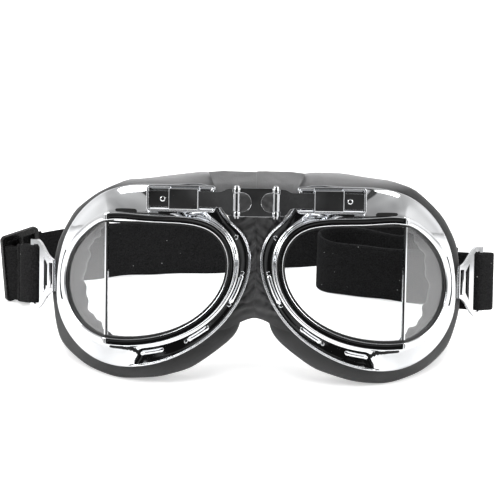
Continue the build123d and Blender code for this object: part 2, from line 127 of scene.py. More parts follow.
# ---------------- curves and frames
def even_places(points, count):
    """Places spread evenly round the points; 3.25 is a quarter of the way from point 3 to 4."""
    points = np.array(points, float)
    gaps = np.linalg.norm(np.roll(points, -1, axis=0) - points, axis=1)
    knots = np.concatenate([[0], np.cumsum(gaps)])
    at = np.linspace(0, knots[-1], count, endpoint=False)
    return np.interp(at, knots, np.arange(len(knots)))


def run_along(points):
    """The distance along the points, from the first to each."""
    return np.concatenate([[0], np.cumsum(np.linalg.norm(np.diff(points, axis=0), axis=1))])


def smooth_between(t, width, start, end, start_slope, end_slope):
    """Points of smooth curves from start to end, at the share t of each width."""
    return (
        (2 * t**3 - 3 * t**2 + 1) * start
        + (t**3 - 2 * t**2 + t) * start_slope * width
        + (3 * t**2 - 2 * t**3) * end
        + (t**3 - t**2) * end_slope * width
    )


def closed_spline(points, places):
    """A smooth closed curve through the points, at the places given."""
    points = np.array(points, float)
    n = len(points)
    gaps = np.linalg.norm(np.roll(points, -1, axis=0) - points, axis=1)
    system = np.zeros((n, n))
    right = np.zeros_like(points)
    for k in range(n):
        before, after = gaps[k - 1], gaps[k]
        system[k, (k - 1) % n] += after
        system[k, k] += 2 * (before + after)
        system[k, (k + 1) % n] += before
        slope_before = (points[k] - points[k - 1]) / before
        slope_after = (points[(k + 1) % n] - points[k]) / after
        right[k] = 3 * (after * slope_before + before * slope_after)
    slopes = np.linalg.solve(system, right)
    span = np.floor(places).astype(int)
    t = (places - span)[:, None]
    width = gaps[span][:, None]
    ahead = (span + 1) % n
    return smooth_between(t, width, points[span], points[ahead], slopes[span], slopes[ahead])


def open_spline(points, count):
    """A smooth open curve through the points, as `count` points evenly along it."""
    points = np.array(points, float)
    gaps = np.linalg.norm(np.diff(points, axis=0), axis=1) ** 0.5
    knots = np.concatenate([[0], np.cumsum(gaps)])
    n = len(points)
    system = np.zeros((n, n))
    right = np.zeros_like(points)
    system[0, :2] = 2, 1
    right[0] = 3 * (points[1] - points[0]) / gaps[0]
    system[-1, -2:] = 1, 2
    right[-1] = 3 * (points[-1] - points[-2]) / gaps[-1]
    for k in range(1, n - 1):
        before, after = gaps[k - 1], gaps[k]
        system[k, k - 1 : k + 2] = after, 2 * (before + after), before
        right[k] = 3 * (
            after * (points[k] - points[k - 1]) / before + before * (points[k + 1] - points[k]) / after
        )
    slopes = np.linalg.solve(system, right)
    at = np.linspace(0, knots[-1], count * 6)
    span = np.clip(np.searchsorted(knots, at, side="right") - 1, 0, n - 2)
    t = ((at - knots[span]) / gaps[span])[:, None]
    width = gaps[span][:, None]
    fine = smooth_between(t, width, points[span], points[span + 1], slopes[span], slopes[span + 1])
    run = run_along(fine)
    even = np.linspace(0, run[-1], count)
    return np.stack([np.interp(even, run, fine[:, k]) for k in range(fine.shape[1])], axis=1)


def unit(vectors):
    """The vectors, each at length one."""
    return vectors / np.maximum(np.linalg.norm(vectors, axis=-1, keepdims=True), 1e-12)


def folded(u, z, lift):
    """Points of the folded face at (u, z) of the flat pattern, lifted forwards, in mm."""
    u, z, lift = (np.asarray(v, float) for v in (u, z, lift))
    along = np.clip((u - BEND_U + FOLD_HALF) / (2 * FOLD_HALF), 0, 1)
    turn = TOE + (SIDE_TURN - TOE) * along
    start = BEND_U - FOLD_HALF
    radius = 2 * FOLD_HALF / (SIDE_TURN - TOE)
    front = np.minimum(u, start) - PIN_X
    x = PIN_X + front * cos(TOE)
    y = front * sin(TOE)
    x = x + radius * (np.sin(turn) - sin(TOE))
    y = y + radius * (cos(TOE) - np.cos(turn))
    beyond = np.maximum(u - BEND_U - FOLD_HALF, 0)
    x = x + beyond * cos(SIDE_TURN)
    y = y + beyond * sin(SIDE_TURN)
    return np.stack([x + lift * np.sin(turn), y - lift * np.cos(turn), z + 0 * x], axis=-1)


def lip_depth(x):
    """How far back the flange's lip lies."""
    wrap = np.maximum(0.0, x - LIP_WRAP_START) / LIP_WRAP_SPAN
    return LIP_DEPTH_NOSE + LIP_DEPTH_WRAP * wrap**3


def stand(points):
    """Goggles axes in mm to the part's own frame in metres: leaned back and set on the table."""
    points = np.asarray(points, float)
    x, y, z = points[..., 0], points[..., 1], points[..., 2]
    back = y * cos(LEAN) + z * sin(LEAN)
    up = z * cos(LEAN) - y * sin(LEAN)
    return np.stack([x + SHIFT_X, back + SHIFT_Y, up + FLOOR_DROP], axis=-1) / 1000


def on_table(points):
    """Plan points measured from below the bridge, in mm, to the part's own frame in mm."""
    points = np.array(points, float)
    return points + np.array([SHIFT_X, SHIFT_Y])


PLACES = even_places([pair[0] for pair in EYE_POINTS], AROUND)
CORNER = closed_spline([pair[0] for pair in EYE_POINTS], PLACES)
LIP = closed_spline([pair[1] for pair in EYE_POINTS], PLACES)
TANGENT = unit(np.roll(CORNER, -1, axis=0) - np.roll(CORNER, 1, axis=0))
OUTWARD = np.stack([TANGENT[:, 1], -TANGENT[:, 0]], axis=1)
if np.mean(np.sum(OUTWARD * (CORNER - CORNER.mean(axis=0)), axis=1)) < 0:
    OUTWARD = -OUTWARD


# ---------------- mesh helpers
def new_mesh(name, verts, faces, smooth=True):
    """A mesh object from vertices in metres and faces."""
    mesh = bpy.data.meshes.new(name)
    mesh.from_pydata([tuple(v) for v in np.asarray(verts, float)], [], faces)
    mesh.validate()
    mesh.update()
    piece = bpy.data.objects.new(name, mesh)
    bpy.context.scene.collection.objects.link(piece)
    if smooth:
        mesh.shade_smooth()
    return piece


def grid_faces(rows, columns, close_rows=False, close_columns=False):
    """Quads of a grid whose vertices run row by row."""
    faces = []
    for r in range(rows if close_rows else rows - 1):
        for c in range(columns if close_columns else columns - 1):
            a = r * columns + c
            b = r * columns + (c + 1) % columns
            d = (r + 1) % rows * columns + c
            e = (r + 1) % rows * columns + (c + 1) % columns
            faces.append((a, b, e, d))
    return faces


def tube_faces(rings, around):
    """Faces of a tube of rings with both its ends closed."""
    last = (rings - 1) * around
    return grid_faces(rings, around, False, True) + [
        tuple(range(around)),
        tuple(range(last, last + around)),
    ]


def outward_normals(piece):
    """Turns the faces of a closed mesh so that they all look outwards."""
    mesh = bmesh.new()
    mesh.from_mesh(piece.data)
    bmesh.ops.recalc_face_normals(mesh, faces=mesh.faces)
    mesh.to_mesh(piece.data)
    mesh.free()


def ring_piece(name, rings, side):
    """A closed band from rings of points in goggles mm, mirrored for the left eye (side -1)."""
    rings = np.array(rings)
    rings[..., 0] *= side
    verts = stand(rings).reshape(-1, 3)
    piece = new_mesh(name, verts, grid_faces(len(rings), rings.shape[1], True, True))
    outward_normals(piece)
    return piece


def apply_modifiers(piece):
    """Replaces the mesh with its evaluated copy."""
    bpy.context.view_layer.update()
    graph = bpy.context.evaluated_depsgraph_get()
    mesh = bpy.data.meshes.new_from_object(piece.evaluated_get(graph))
    piece.modifiers.clear()
    old = piece.data
    piece.data = mesh
    bpy.data.meshes.remove(old)


def points_of(piece):
    """The mesh's points, in metres."""
    return np.array([v.co for v in piece.data.vertices])


def move_points(piece, points):
    """Puts the mesh's points in new places."""
    piece.data.vertices.foreach_set("co", points.ravel())
    piece.data.update()


def finish_with(piece, material, body=None):
    """Gives a piece its material, and its body when it rides on one."""
    piece.data.materials.clear()
    piece.data.materials.append(material)
    if body:
        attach(piece, body)


# ---------------- materials
def grey(level, blue=None):
    """A grey, with its own share of blue when one is given."""
    return (level, level, level if blue is None else blue, 1)


class Nodes:
    """A small helper to build the node tree of a material or of the world."""

    def __init__(self, owner, output="ShaderNodeOutputMaterial"):
        self.owner = owner
        owner.use_nodes = True
        self.tree = owner.node_tree
        self.tree.nodes.clear()
        self.output = self.add(output)

    def add(self, kind, inputs=None, **settings):
        """Adds a node; `inputs` maps socket names to values or to other sockets."""
        node = self.tree.nodes.new(kind)
        for key, value in settings.items():
            setattr(node, key, value)
        for key, value in (inputs or {}).items():
            if isinstance(value, bpy.types.NodeSocket):
                self.tree.links.new(value, node.inputs[key])
            else:
                node.inputs[key].default_value = value
        return node

    def noise(self, scale, detail=3.0, rough=0.5, vector=None):
        """A noise texture over object coordinates, or over the vector given."""
        source = vector or self.coords()
        return self.add(
            "ShaderNodeTexNoise",
            {"Vector": source, "Scale": scale, "Detail": detail, "Roughness": rough},
        ).outputs["Fac"]

    def coords(self):
        """Object coordinates, in metres."""
        return self.add("ShaderNodeTexCoord").outputs["Object"]

    def ramp(self, value, low, high, out_low, out_high):
        """Maps a value from one range to another."""
        return self.add(
            "ShaderNodeMapRange",
            {"Value": value, "From Min": low, "From Max": high, "To Min": out_low, "To Max": out_high},
        ).outputs["Result"]

    def mix(self, factor, first, second):
        """A colour between two."""
        inputs = {0: factor, 6: first, 7: second}
        return self.add("ShaderNodeMix", inputs, data_type="RGBA").outputs[2]

    def bump(self, height, strength, distance, normal=None):
        """A bump from a height."""
        inputs = {"Height": height, "Strength": strength, "Distance": distance}
        if normal is not None:
            inputs["Normal"] = normal
        return self.add("ShaderNodeBump", inputs).outputs["Normal"]

    def between(self, factor, first, second):
        """A number between two."""
        inputs = {0: factor, 2: first, 3: second}
        return self.add("ShaderNodeMix", inputs, data_type="FLOAT").outputs[0]

    def math(self, operation, *values):
        """One step of arithmetic on values or sockets."""
        return self.add("ShaderNodeMath", dict(enumerate(values)), operation=operation).outputs[0]

    def show(self, shader):
        """Wires a shader to the output."""
        self.tree.links.new(shader.outputs[0], self.output.inputs["Surface"])

    def surface(self, inputs):
        """A principled surface wired to the output."""
        self.show(self.add("ShaderNodeBsdfPrincipled", inputs))


def new_look(name):
    """The empty node tree of a new material."""
    return Nodes(bpy.data.materials.new(name))


def chrome():
    """Polished plating with faint ripples and wiped smears."""
    m = new_look("chrome")
    ripple = m.noise(60.0, 2.0, 0.4)
    smear = m.noise(900.0, 4.0, 0.6)
    rough = m.ramp(smear, 0.35, 0.75, 0.03, 0.09)
    tone = m.ramp(m.noise(45.0, 3.0), 0.3, 0.7, 0.0, 1.0)
    colour = m.mix(tone, (0.80, 0.81, 0.83, 1), (0.86, 0.87, 0.88, 1))
    m.surface(
        {
            "Base Color": colour,
            "Metallic": 1.0,
            "Roughness": rough,
            "Normal": m.bump(ripple, 0.15, 0.0006),
        }
    )
    return m.owner


def rubber():
    """The gasket's black rubber."""
    m = new_look("gasket")
    grain = m.noise(2500.0, 3.0)
    m.surface(
        {
            "Base Color": m.mix(grain, grey(0.006), grey(0.02)),
            "Roughness": m.ramp(grain, 0.3, 0.7, 0.35, 0.55),
            "Normal": m.bump(grain, 0.2, 0.0001),
        }
    )
    return m.owner


def pane(name, tint, haze_share, mirror_share):
    """A thin lens pane: it lets light straight through and reflects by its angle."""
    m = new_look(name)
    smudge = m.noise(38.0, 4.0, 0.6)
    smooth = m.ramp(smudge, 0.4, 0.7, 0.01, 0.05)
    gloss = m.add("ShaderNodeBsdfGlossy", {"Color": (1, 1, 1, 1), "Roughness": smooth})
    clear = m.add("ShaderNodeBsdfTransparent", {"Color": tint})
    haze = m.add("ShaderNodeBsdfDiffuse", {"Color": (0.75, 0.76, 0.77, 1)})
    body = m.add("ShaderNodeMixShader", {0: haze_share, 1: clear.outputs[0], 2: haze.outputs[0]})
    fresnel = m.add("ShaderNodeFresnel", {"IOR": 1.42})
    mirror = m.ramp(fresnel.outputs[0], 0.0, 1.0, mirror_share, 1.0)
    far_side = m.add("ShaderNodeNewGeometry").outputs["Backfacing"]
    mirror = m.math("MULTIPLY", mirror, m.math("SUBTRACT", 1.0, far_side))
    m.show(m.add("ShaderNodeMixShader", {0: mirror, 1: body.outputs[0], 2: gloss.outputs[0]}))
    return m.owner


def leather():
    """Dark grey hide, painted paler along its top as painted light from above: pebbled grain, fine
    creases and a soft waxy sheen.
    """
    m = new_look("leather")
    where = m.coords()
    pebble = m.add(
        "ShaderNodeTexVoronoi", {"Vector": where, "Scale": 1500.0}, feature="F1"
    ).outputs["Distance"]
    crease = m.add(
        "ShaderNodeTexVoronoi", {"Vector": where, "Scale": 420.0}, feature="DISTANCE_TO_EDGE"
    ).outputs["Distance"]
    soft = m.noise(70.0, 4.0, 0.55, where)
    worn = m.ramp(m.noise(28.0, 3.0, 0.5, where), 0.35, 0.7, 0.0, 1.0)
    dark = m.mix(worn, grey(0.029, 0.0295), grey(0.054, 0.055))
    # painted light: a paler grey for the leather's top, standing in for the light that falls on it from
    # above
    painted_top_light = m.mix(worn, grey(0.19, 0.192), grey(0.25, 0.253))
    height = m.add("ShaderNodeSeparateXYZ", {"Vector": where}).outputs["Z"]
    # painted light: lighter where the leather is higher than about 81-87 mm, i.e. along its top
    colour = m.mix(m.ramp(height, 0.081, 0.087, 0.0, 1.0), dark, painted_top_light)
    first = m.bump(soft, 0.35, 0.0012)
    second = m.bump(m.ramp(crease, 0.0, 0.12, 0.0, 1.0), 0.16, 0.00012, first)
    third = m.bump(pebble, 0.25, 0.00012, second)
    m.surface(
        {
            "Base Color": colour,
            "Roughness": m.ramp(soft, 0.3, 0.7, 0.46, 0.62),
            "Specular IOR Level": 0.45,
            "Sheen Weight": 0.22,
            "Sheen Roughness": 0.4,
            "Normal": third,
        }
    )
    return m.owner


def webbing(name, ribbed):
    """Black elastic: fine knit on the outside, cords across the inside, with lint specks."""
    m = new_look(name)
    where = m.add("ShaderNodeUVMap", uv_map="cloth").outputs[0]
    knit = m.add(
        "ShaderNodeTexWave",
        {"Vector": where, "Scale": 380.0, "Distortion": 0.6, "Detail": 1.0},
        bands_direction="X",
    ).outputs["Fac"]
    rows = m.add(
        "ShaderNodeTexWave",
        {"Vector": where, "Scale": 230.0 if ribbed else 320.0, "Distortion": 0.5, "Detail": 1.0},
        bands_direction="Y",
    ).outputs["Fac"]
    fuzz = m.noise(1500.0, 5.0, 0.8)
    base = m.mix(m.ramp(fuzz, 0.35, 0.75, 0.0, 1.0), grey(0.0012), grey(0.029, 0.030))
    speck = m.add("ShaderNodeTexVoronoi", {"Vector": m.coords(), "Scale": 260.0}, feature="F1")
    pick = m.ramp(m.noise(330.0, 0.0), 0.60, 0.64, 0.0, 1.0)
    near = m.ramp(speck.outputs["Distance"], 0.05, 0.09, 1.0, 0.0)
    lint = m.math("MULTIPLY", pick, near)
    if ribbed:
        base = m.mix(m.ramp(rows, 0.55, 1.0, 0.0, 0.75), base, grey(0.06, 0.061))
    colour = m.mix(lint, base, grey(0.28))
    first = m.bump(rows, 0.8 if ribbed else 0.35, 0.0003)
    second = m.bump(knit, 0.35, 0.0002, first)
    m.surface(
        {
            "Base Color": colour,
            "Roughness": 0.9,
            "Specular IOR Level": 0.12,
            "Normal": m.bump(fuzz, 0.4, 0.00025, second),
        }
    )
    return m.owner


def plastic():
    """Moulded black plastic with a high gloss."""
    m = new_look("slider_plastic")
    grain = m.noise(500.0, 3.0)
    m.surface(
        {
            "Base Color": m.mix(grain, grey(0.004), grey(0.010)),
            "Roughness": m.ramp(grain, 0.3, 0.7, 0.20, 0.34),
            "Specular IOR Level": 0.28,
            "Normal": m.bump(m.noise(80.0, 2.0), 0.12, 0.0006),
        }
    )
    return m.owner


def painted_vent_shade():
    """Painted shade: a near-black sheet that stands in for the shaded inside of the vents."""
    m = new_look("vent_painted_shade")
    grain = m.noise(900.0, 2.0)
    m.surface(
        {"Base Color": m.mix(grain, grey(0.002), grey(0.006)), "Roughness": 0.9}
    )
    return m.owner


CHROME = chrome()
RUBBER = rubber()
CLEAR = pane("clear_pane", (0.98, 0.985, 0.99, 1), 0.0, 0.0)
GREY = pane("grey_pane", (0.95, 0.955, 0.96, 1), 0.035, 0.10)
LEATHER = leather()
KNIT = webbing("webbing", False)
RIBBED = webbing("webbing_inside", True)
PLASTIC = plastic()
VENT_SHADE = painted_vent_shade()


# ---------------- chrome shells
def smooth_step(value, low, high):
    """0 below low, 1 above high, and a smooth way between."""
    t = np.clip((np.asarray(value, float) - low) / (high - low), 0, 1)
    return t * t * (3 - 2 * t)


SEAT = folded(CORNER[:, 0], CORNER[:, 1], BEZEL_BACK)
LIP_LINE = np.stack([LIP[:, 0], lip_depth(LIP[:, 0]), LIP[:, 1]], axis=1)
FLANGE_RUN = LIP_LINE - SEAT
FLANGE_OUT = unit(FLANGE_RUN)
STRAIGHT_BACK = np.array([0.0, 1.0, 0.0])
FLANGE_IN = unit(STRAIGHT_BACK - FLANGE_OUT * FLANGE_OUT[:, 1:2])
# the flange's run with its depth left out: its direction and length seen from the front
FRONT_VIEW = FLANGE_RUN * np.array([1.0, 0.0, 1.0])
ASIDE = unit(FRONT_VIEW)
WIDTH = np.linalg.norm(FRONT_VIEW, axis=1)
# where the channel gives way to the slope above and below the lens, in mm from the middle
UPPER_CHANGE = (12.0, 42.0)
LOWER_CHANGE = (50.0, 62.0)
# 1 where the flange is a steep wall and a level channel, 0 where it is one wide slope
CHANNEL = 1 - np.where(
    LIP[:, 1] > 0, smooth_step(LIP[:, 0], *UPPER_CHANGE), smooth_step(LIP[:, 0], *LOWER_CHANGE)
)

# Rows of the flange's section. For the slope: share of the way to the lip, mm below that line.
# For the channel: share of the width and mm beyond it, share of the depth, mm further back.
FLANGE_SECTION = [
    ((0.00, 0.90), (0.0, 0.00, 0.00, 0.9)),
    ((0.02, 0.75), (0.0, 0.15, 0.22, 0.4)),
    ((0.05, 0.35), (0.0, 0.28, 0.48, 0.1)),
    ((0.10, 0.30), (0.0, 0.38, 0.72, 0.0)),
    ((0.18, 0.38), (0.0, 0.50, 0.90, 0.0)),
    ((0.28, 0.48), (0.0, 0.80, 0.99, 0.0)),
    ((0.40, 0.55), (0.18, 0.70, 1.0, 0.0)),
    ((0.52, 0.55), (0.38, 0.60, 1.0, 0.1)),
    ((0.63, 0.50), (0.55, 0.20, 1.0, 0.1)),
    ((0.74, 0.36), (0.72, -0.20, 1.0, 0.1)),
    ((0.86, 0.10), (1.0, -1.00, 1.0, 0.05)),
    ((0.92, -0.08), (1.0, -0.82, 1.0, 0.0)),
    ((0.96, -0.20), (1.0, -0.62, 1.0, -0.45)),
    ((0.99, -0.22), (1.0, -0.40, 1.0, -0.62)),
    ((1.01, -0.10), (1.0, -0.12, 1.0, -0.58)),
    ((1.02, 0.25), (1.0, 0.08, 1.0, -0.25)),
    ((1.02, 0.80), (1.0, 0.12, 1.0, 0.3)),
    ((1.01, 1.40), (1.0, 0.05, 1.0, 0.9)),
    ((1.00, 1.80), (1.0, -0.30, 1.0, 1.1)),
    ((0.96, 1.70), (1.0, -0.80, 1.0, 1.1)),
    ((0.80, 1.75), (0.80, 0.00, 1.0, 1.2)),
    ((0.55, 2.00), (0.55, 0.00, 1.0, 1.2)),
    ((0.35, 2.00), (0.30, 0.00, 1.0, 1.2)),
    ((0.12, 1.60), (0.05, 0.00, 0.8, 1.6)),
    ((0.00, 1.40), (0.0, 0.00, 0.0, 1.8)),
]
FLANGE_FRONT_ROWS = 15
CHANNEL_FLOOR_ROW = 7


def flange_ring(slope, channel):
    """One ring of the flange's section, blended from its two shapes."""
    share, sink = slope
    sloping = SEAT + FLANGE_RUN * share + FLANGE_IN * sink
    across, beyond, down, back = channel
    level = SEAT + ASIDE * (WIDTH * across + beyond)[:, None]
    level[:, 1] += FLANGE_RUN[:, 1] * down + back
    return sloping + (level - sloping) * CHANNEL[:, None]


FLANGE = np.array([flange_ring(slope, channel) for slope, channel in FLANGE_SECTION])


def rounded_ring(low, high, inner, outer, radius, steps=4):
    """Rings of a rounded rectangle section between lifts and offsets of the outline."""
    corners = [(outer, low, -1, 1), (outer, high, -1, -1), (inner, high, 1, -1), (inner, low, 1, 1)]
    section = []
    for k, (offset, lift, inwards, upwards) in enumerate(corners):
        centre = (offset + inwards * radius, lift + upwards * radius)
        for step in range(steps + 1):
            angle = radians(90 * (k - 1) + 90 * step / steps)
            section.append((centre[0] + radius * cos(angle), centre[1] + radius * sin(angle)))
    rings = []
    for offset, lift in section:
        flat = CORNER + OUTWARD * offset
        rings.append(folded(flat[:, 0], flat[:, 1], lift))
    return rings


for side, name in SIDES:
    body = name + "_eye"
    shell = ring_piece(name + "_shell", FLANGE, side)
    finish_with(shell, CHROME, body)
    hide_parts(name + "_frame")
    rim_rings = rounded_ring(BEZEL_BACK, BEZEL_FRONT, -BEZEL_FACE, 0.0, EDGE_ROUND)
    rim = ring_piece(name + "_rim", rim_rings, side)
    finish_with(rim, CHROME, body)
    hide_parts(name + "_bezel")

# ---------------- tray under each arm
TRAY_U = (18.2, 49.0)
TRAY_Z = (28.5, 40.3)
TRAY_FLOOR = -1.5
TRAY_RIM = -0.5
TRAY_SKIRT = -8.0
TRAY_CORNER = 1.6
TRAY_LEAST_CORNER = 0.4
# the rim is cut down here to let the arm in
TRAY_GATE_Z = (30.0, 38.2)
TRAY_GATE_DEEP = 2.0


def rounded_rectangle(u_range, z_range, radius, steps=6, side_steps=12):
    """Points round a rectangle with rounded corners, with more along its sides."""
    (u0, u1), (z0, z1) = u_range, z_range
    centres = [
        (u1 - radius, z1 - radius, 0),
        (u0 + radius, z1 - radius, 90),
        (u0 + radius, z0 + radius, 180),
        (u1 - radius, z0 + radius, 270),
    ]
    points = []
    for k, (u, z, start) in enumerate(centres):
        for step in range(steps + 1):
            angle = radians(start + 90 * step / steps)
            points.append((u + radius * cos(angle), z + radius * sin(angle)))
        nu, nz, turn = centres[(k + 1) % 4]
        end = (nu + radius * cos(radians(turn)), nz + radius * sin(radians(turn)))
        last = points[-1]
        for step in range(1, side_steps):
            share = step / side_steps
            points.append((last[0] + (end[0] - last[0]) * share, last[1] + (end[1] - last[1]) * share))
    return np.array(points)


def tray_piece(name, side):
    """A shallow dish with a rounded rim, open where the arm comes in."""
    sections = [
        (0.0, TRAY_SKIRT),
        (0.0, TRAY_RIM - 0.3),
        (-0.08, TRAY_RIM - 0.1),
        (-0.3, TRAY_RIM),
        (-0.6, TRAY_RIM),
        (-0.82, TRAY_RIM - 0.1),
        (-0.9, TRAY_RIM - 0.3),
        (-0.9, TRAY_FLOOR + 0.15),
        (-1.05, TRAY_FLOOR),
        (-3.0, TRAY_FLOOR),
    ]
    rings = []
    for grow, lift in sections:
        u_range = (TRAY_U[0] - grow, TRAY_U[1] + grow)
        z_range = (TRAY_Z[0] - grow, TRAY_Z[1] + grow)
        flat = rounded_rectangle(u_range, z_range, max(TRAY_CORNER + grow, TRAY_LEAST_CORNER))
        lifts = np.full(len(flat), lift)
        gate_high = (flat[:, 1] > TRAY_GATE_Z[0]) & (flat[:, 1] < TRAY_GATE_Z[1])
        gate = (flat[:, 0] < TRAY_U[0] + TRAY_GATE_DEEP) & gate_high
        lifts[gate] = np.minimum(lifts[gate], TRAY_FLOOR)
        rings.append(folded(flat[:, 0], flat[:, 1], lifts))
    rings = np.array(rings)
    rings[..., 0] *= side
    piece = new_mesh(name, stand(rings).reshape(-1, 3), tube_faces(len(rings), rings.shape[1]))
    outward_normals(piece)
    return piece


# ---------------- vents round the bezel
OUTLINE_RUN = run_along(CORNER)
# black slots (near-black sheets of painted shade standing in for the vents' shaded insides), bright
# strips and little hooks, in mm round the bezel from the fold above
SLOTS = [(3.8, 13.8), (23.0, 33.0), (131.5, 145.0)]
LOUVRES = [(74.8, 86.8), (99.6, 109.6), (120.6, 131.0)]
CURLS = [(59.5, 1), (74.0, 1), (87.6, -1), (110.4, -1)]
# half width, lift off the flange and further rise in the middle
SLOT_SHAPE = (0.95, 0.18, 0.0)
LOUVRE_SHAPE = (1.0, 0.25, 0.55)
# how far from the bezel the vents lie where the flange is a slope
VENTS_ON_SLOPE = 1.9
CURL_LIFT = 0.5
CURL_RADIUS = 0.85
CURL_WIRE = 0.26
CURL_START = -40
CURL_SWEEP = 250
# distance over which a direction along the flange is measured
FEEL = 0.3

FRONT_ROWS = FLANGE[:FLANGE_FRONT_ROWS]
FRONT_STEPS = np.linalg.norm(np.diff(FRONT_ROWS, axis=0), axis=2)
FRONT_RUN = np.concatenate([np.zeros((1, AROUND)), np.cumsum(FRONT_STEPS, axis=0)])


def column(index, away):
    """A point of the flange's section at one place round it, and the direction along the section."""
    rows = FRONT_ROWS[:, index]
    run = FRONT_RUN[:, index]
    here = np.array([np.interp(away, run, rows[:, k]) for k in range(3)])
    ahead = np.array([np.interp(away + FEEL, run, rows[:, k]) for k in range(3)])
    behind = np.array([np.interp(away - FEEL, run, rows[:, k]) for k in range(3)])
    return here, unit(ahead - behind)


def on_flange(along, away, lift):
    """A point of the flange: mm round the bezel, mm across the section, raised by the lift."""
    index = float(np.interp(along, OUTLINE_RUN, np.arange(AROUND)))
    low, high, part = int(index) % AROUND, (int(index) + 1) % AROUND, index - int(index)
    first, out_first = column(low, away)
    second, out_second = column(high, away)
    round_it = unit(second - first)
    normal = unit(np.cross(out_first + out_second, round_it))
    if normal[1] > 0:
        normal = -normal
    return first + (second - first) * part + normal * lift


def vent_middle(along):
    """How far across the section the vents lie: in the channel's floor, or close to the bezel."""
    index = int(np.interp(along, OUTLINE_RUN, np.arange(AROUND))) % AROUND
    in_channel = FRONT_RUN[CHANNEL_FLOOR_ROW, index]
    return VENTS_ON_SLOPE * (1 - CHANNEL[index]) + in_channel * CHANNEL[index]


def patch(name, span, shape, side, across=7, lengthwise=28):
    """A strip with round ends lying on the flange, raised in its middle by the crown."""
    half_width, lift, crown = shape
    start, end = span
    verts = []
    for i in range(lengthwise + 1):
        along = start + (end - start) * i / lengthwise
        from_end = min(along - start, end - along)
        round_off = min(1.0, from_end / half_width)
        wide = half_width * max(0.05, (1 - (1 - round_off) ** 2) ** 0.5)
        middle = vent_middle(along)
        for j in range(across + 1):
            t = -1 + 2 * j / across
            rise = lift + crown * (1 - t * t) * min(1.0, from_end / (2 * half_width) + 0.15)
            verts.append(on_flange(along, middle + wide * t, rise))
    verts = np.array(verts)
    verts[:, 0] *= side
    return new_mesh(name, stand(verts), grid_faces(lengthwise + 1, across + 1))


def curl(name, along, turn, side, steps=18, around=8):
    """A little rolled hook of metal."""
    across = vent_middle(along)
    centre = on_flange(along, across, CURL_LIFT)
    ahead = unit(on_flange(along + 0.5, across, CURL_LIFT) - centre)
    out = unit(on_flange(along, across + 0.5, CURL_LIFT) - centre)
    up = unit(np.cross(ahead, out))
    verts = []
    for i in range(steps + 1):
        angle = radians(CURL_START + CURL_SWEEP * i / steps)
        radial = ahead * cos(angle) * turn + out * sin(angle)
        middle = centre + radial * CURL_RADIUS
        thin = CURL_WIRE * (1 - 0.5 * i / steps)
        for j in range(around):
            ring = 2 * pi * j / around
            verts.append(middle + radial * thin * cos(ring) + up * thin * sin(ring))
    verts = np.array(verts)
    verts[:, 0] *= side
    piece = new_mesh(name, stand(verts), tube_faces(steps + 1, around))
    outward_normals(piece)
    return piece


for side, name in SIDES:
    body = name + "_eye"
    finish_with(tray_piece(name + "_tray", side), CHROME, body)
    for k, span in enumerate(SLOTS):
        # each vent is a near-black sheet of painted shade lying on the flange, not an opening
        finish_with(patch(f"{name}_vent_{k + 1}", span, SLOT_SHAPE, side), VENT_SHADE, body)
    for k, span in enumerate(LOUVRES):
        finish_with(patch(f"{name}_louvre_{k + 1}", span, LOUVRE_SHAPE, side), CHROME, body)
    for k, (along, turn) in enumerate(CURLS):
        finish_with(curl(f"{name}_curl_{k + 1}", along, turn, side), CHROME, body)

# ---------------- leather cushions
# how far the leather stands out past the lip at each pair of points on each side, in mm
NOSE_MARGINS = [5.2, 2.4, 0.0, -3.0, -4.0, -2.0]
MARGINS = {
    -1: [1.8, 2.8, 4.8, 5.8] + NOSE_MARGINS + [7.8, 8.4, 6.6, 5.8, 6.4, 3.2, 3.6, 3.4, 2.6],
    1: [4.2, 4.8, 6.2, 6.2] + NOSE_MARGINS + [8.4, 8.2, 7.0, 5.8, 5.2, 3.4, 3.4, 4.2, 4.2],
}
MARGIN_SMOOTHING = 12
OUTWARD_SMOOTHING = 10
# the cushions bend back towards the nose, by up to this much within this distance of it
NOSE_BACK = 5
NOSE_REACH = 30
# the inner edge comes less far in at the nose than at the temple
INNER_SHARE_NOSE = 0.70
INNER_CHANGE = (50.0, 78.0)
# the cushion's section: share of the margin, mm further out, mm back, from its front inner edge
CUSHION_SECTION = [
    (0.0, -5.0, 3.6),
    (0.0, -1.6, 3.2),
    (1.0, -1.6, 3.4),
    (1.0, -0.3, 4.6),
    (1.0, 0.0, 6.6),
    (1.0, 0.0, 9.0),
    (1.0, -0.8, 11.8),
    (1.0, -2.6, 14.2),
    (0.6, -4.6, 15.7),
    (0.2, -7.0, 16.2),
    (0.0, -9.6, 15.6),
    (0.0, -11.8, 13.8),
    (0.0, -12.6, 10.8),
    (0.0, -11.2, 7.4),
    (0.0, -8.0, 5.2),
]


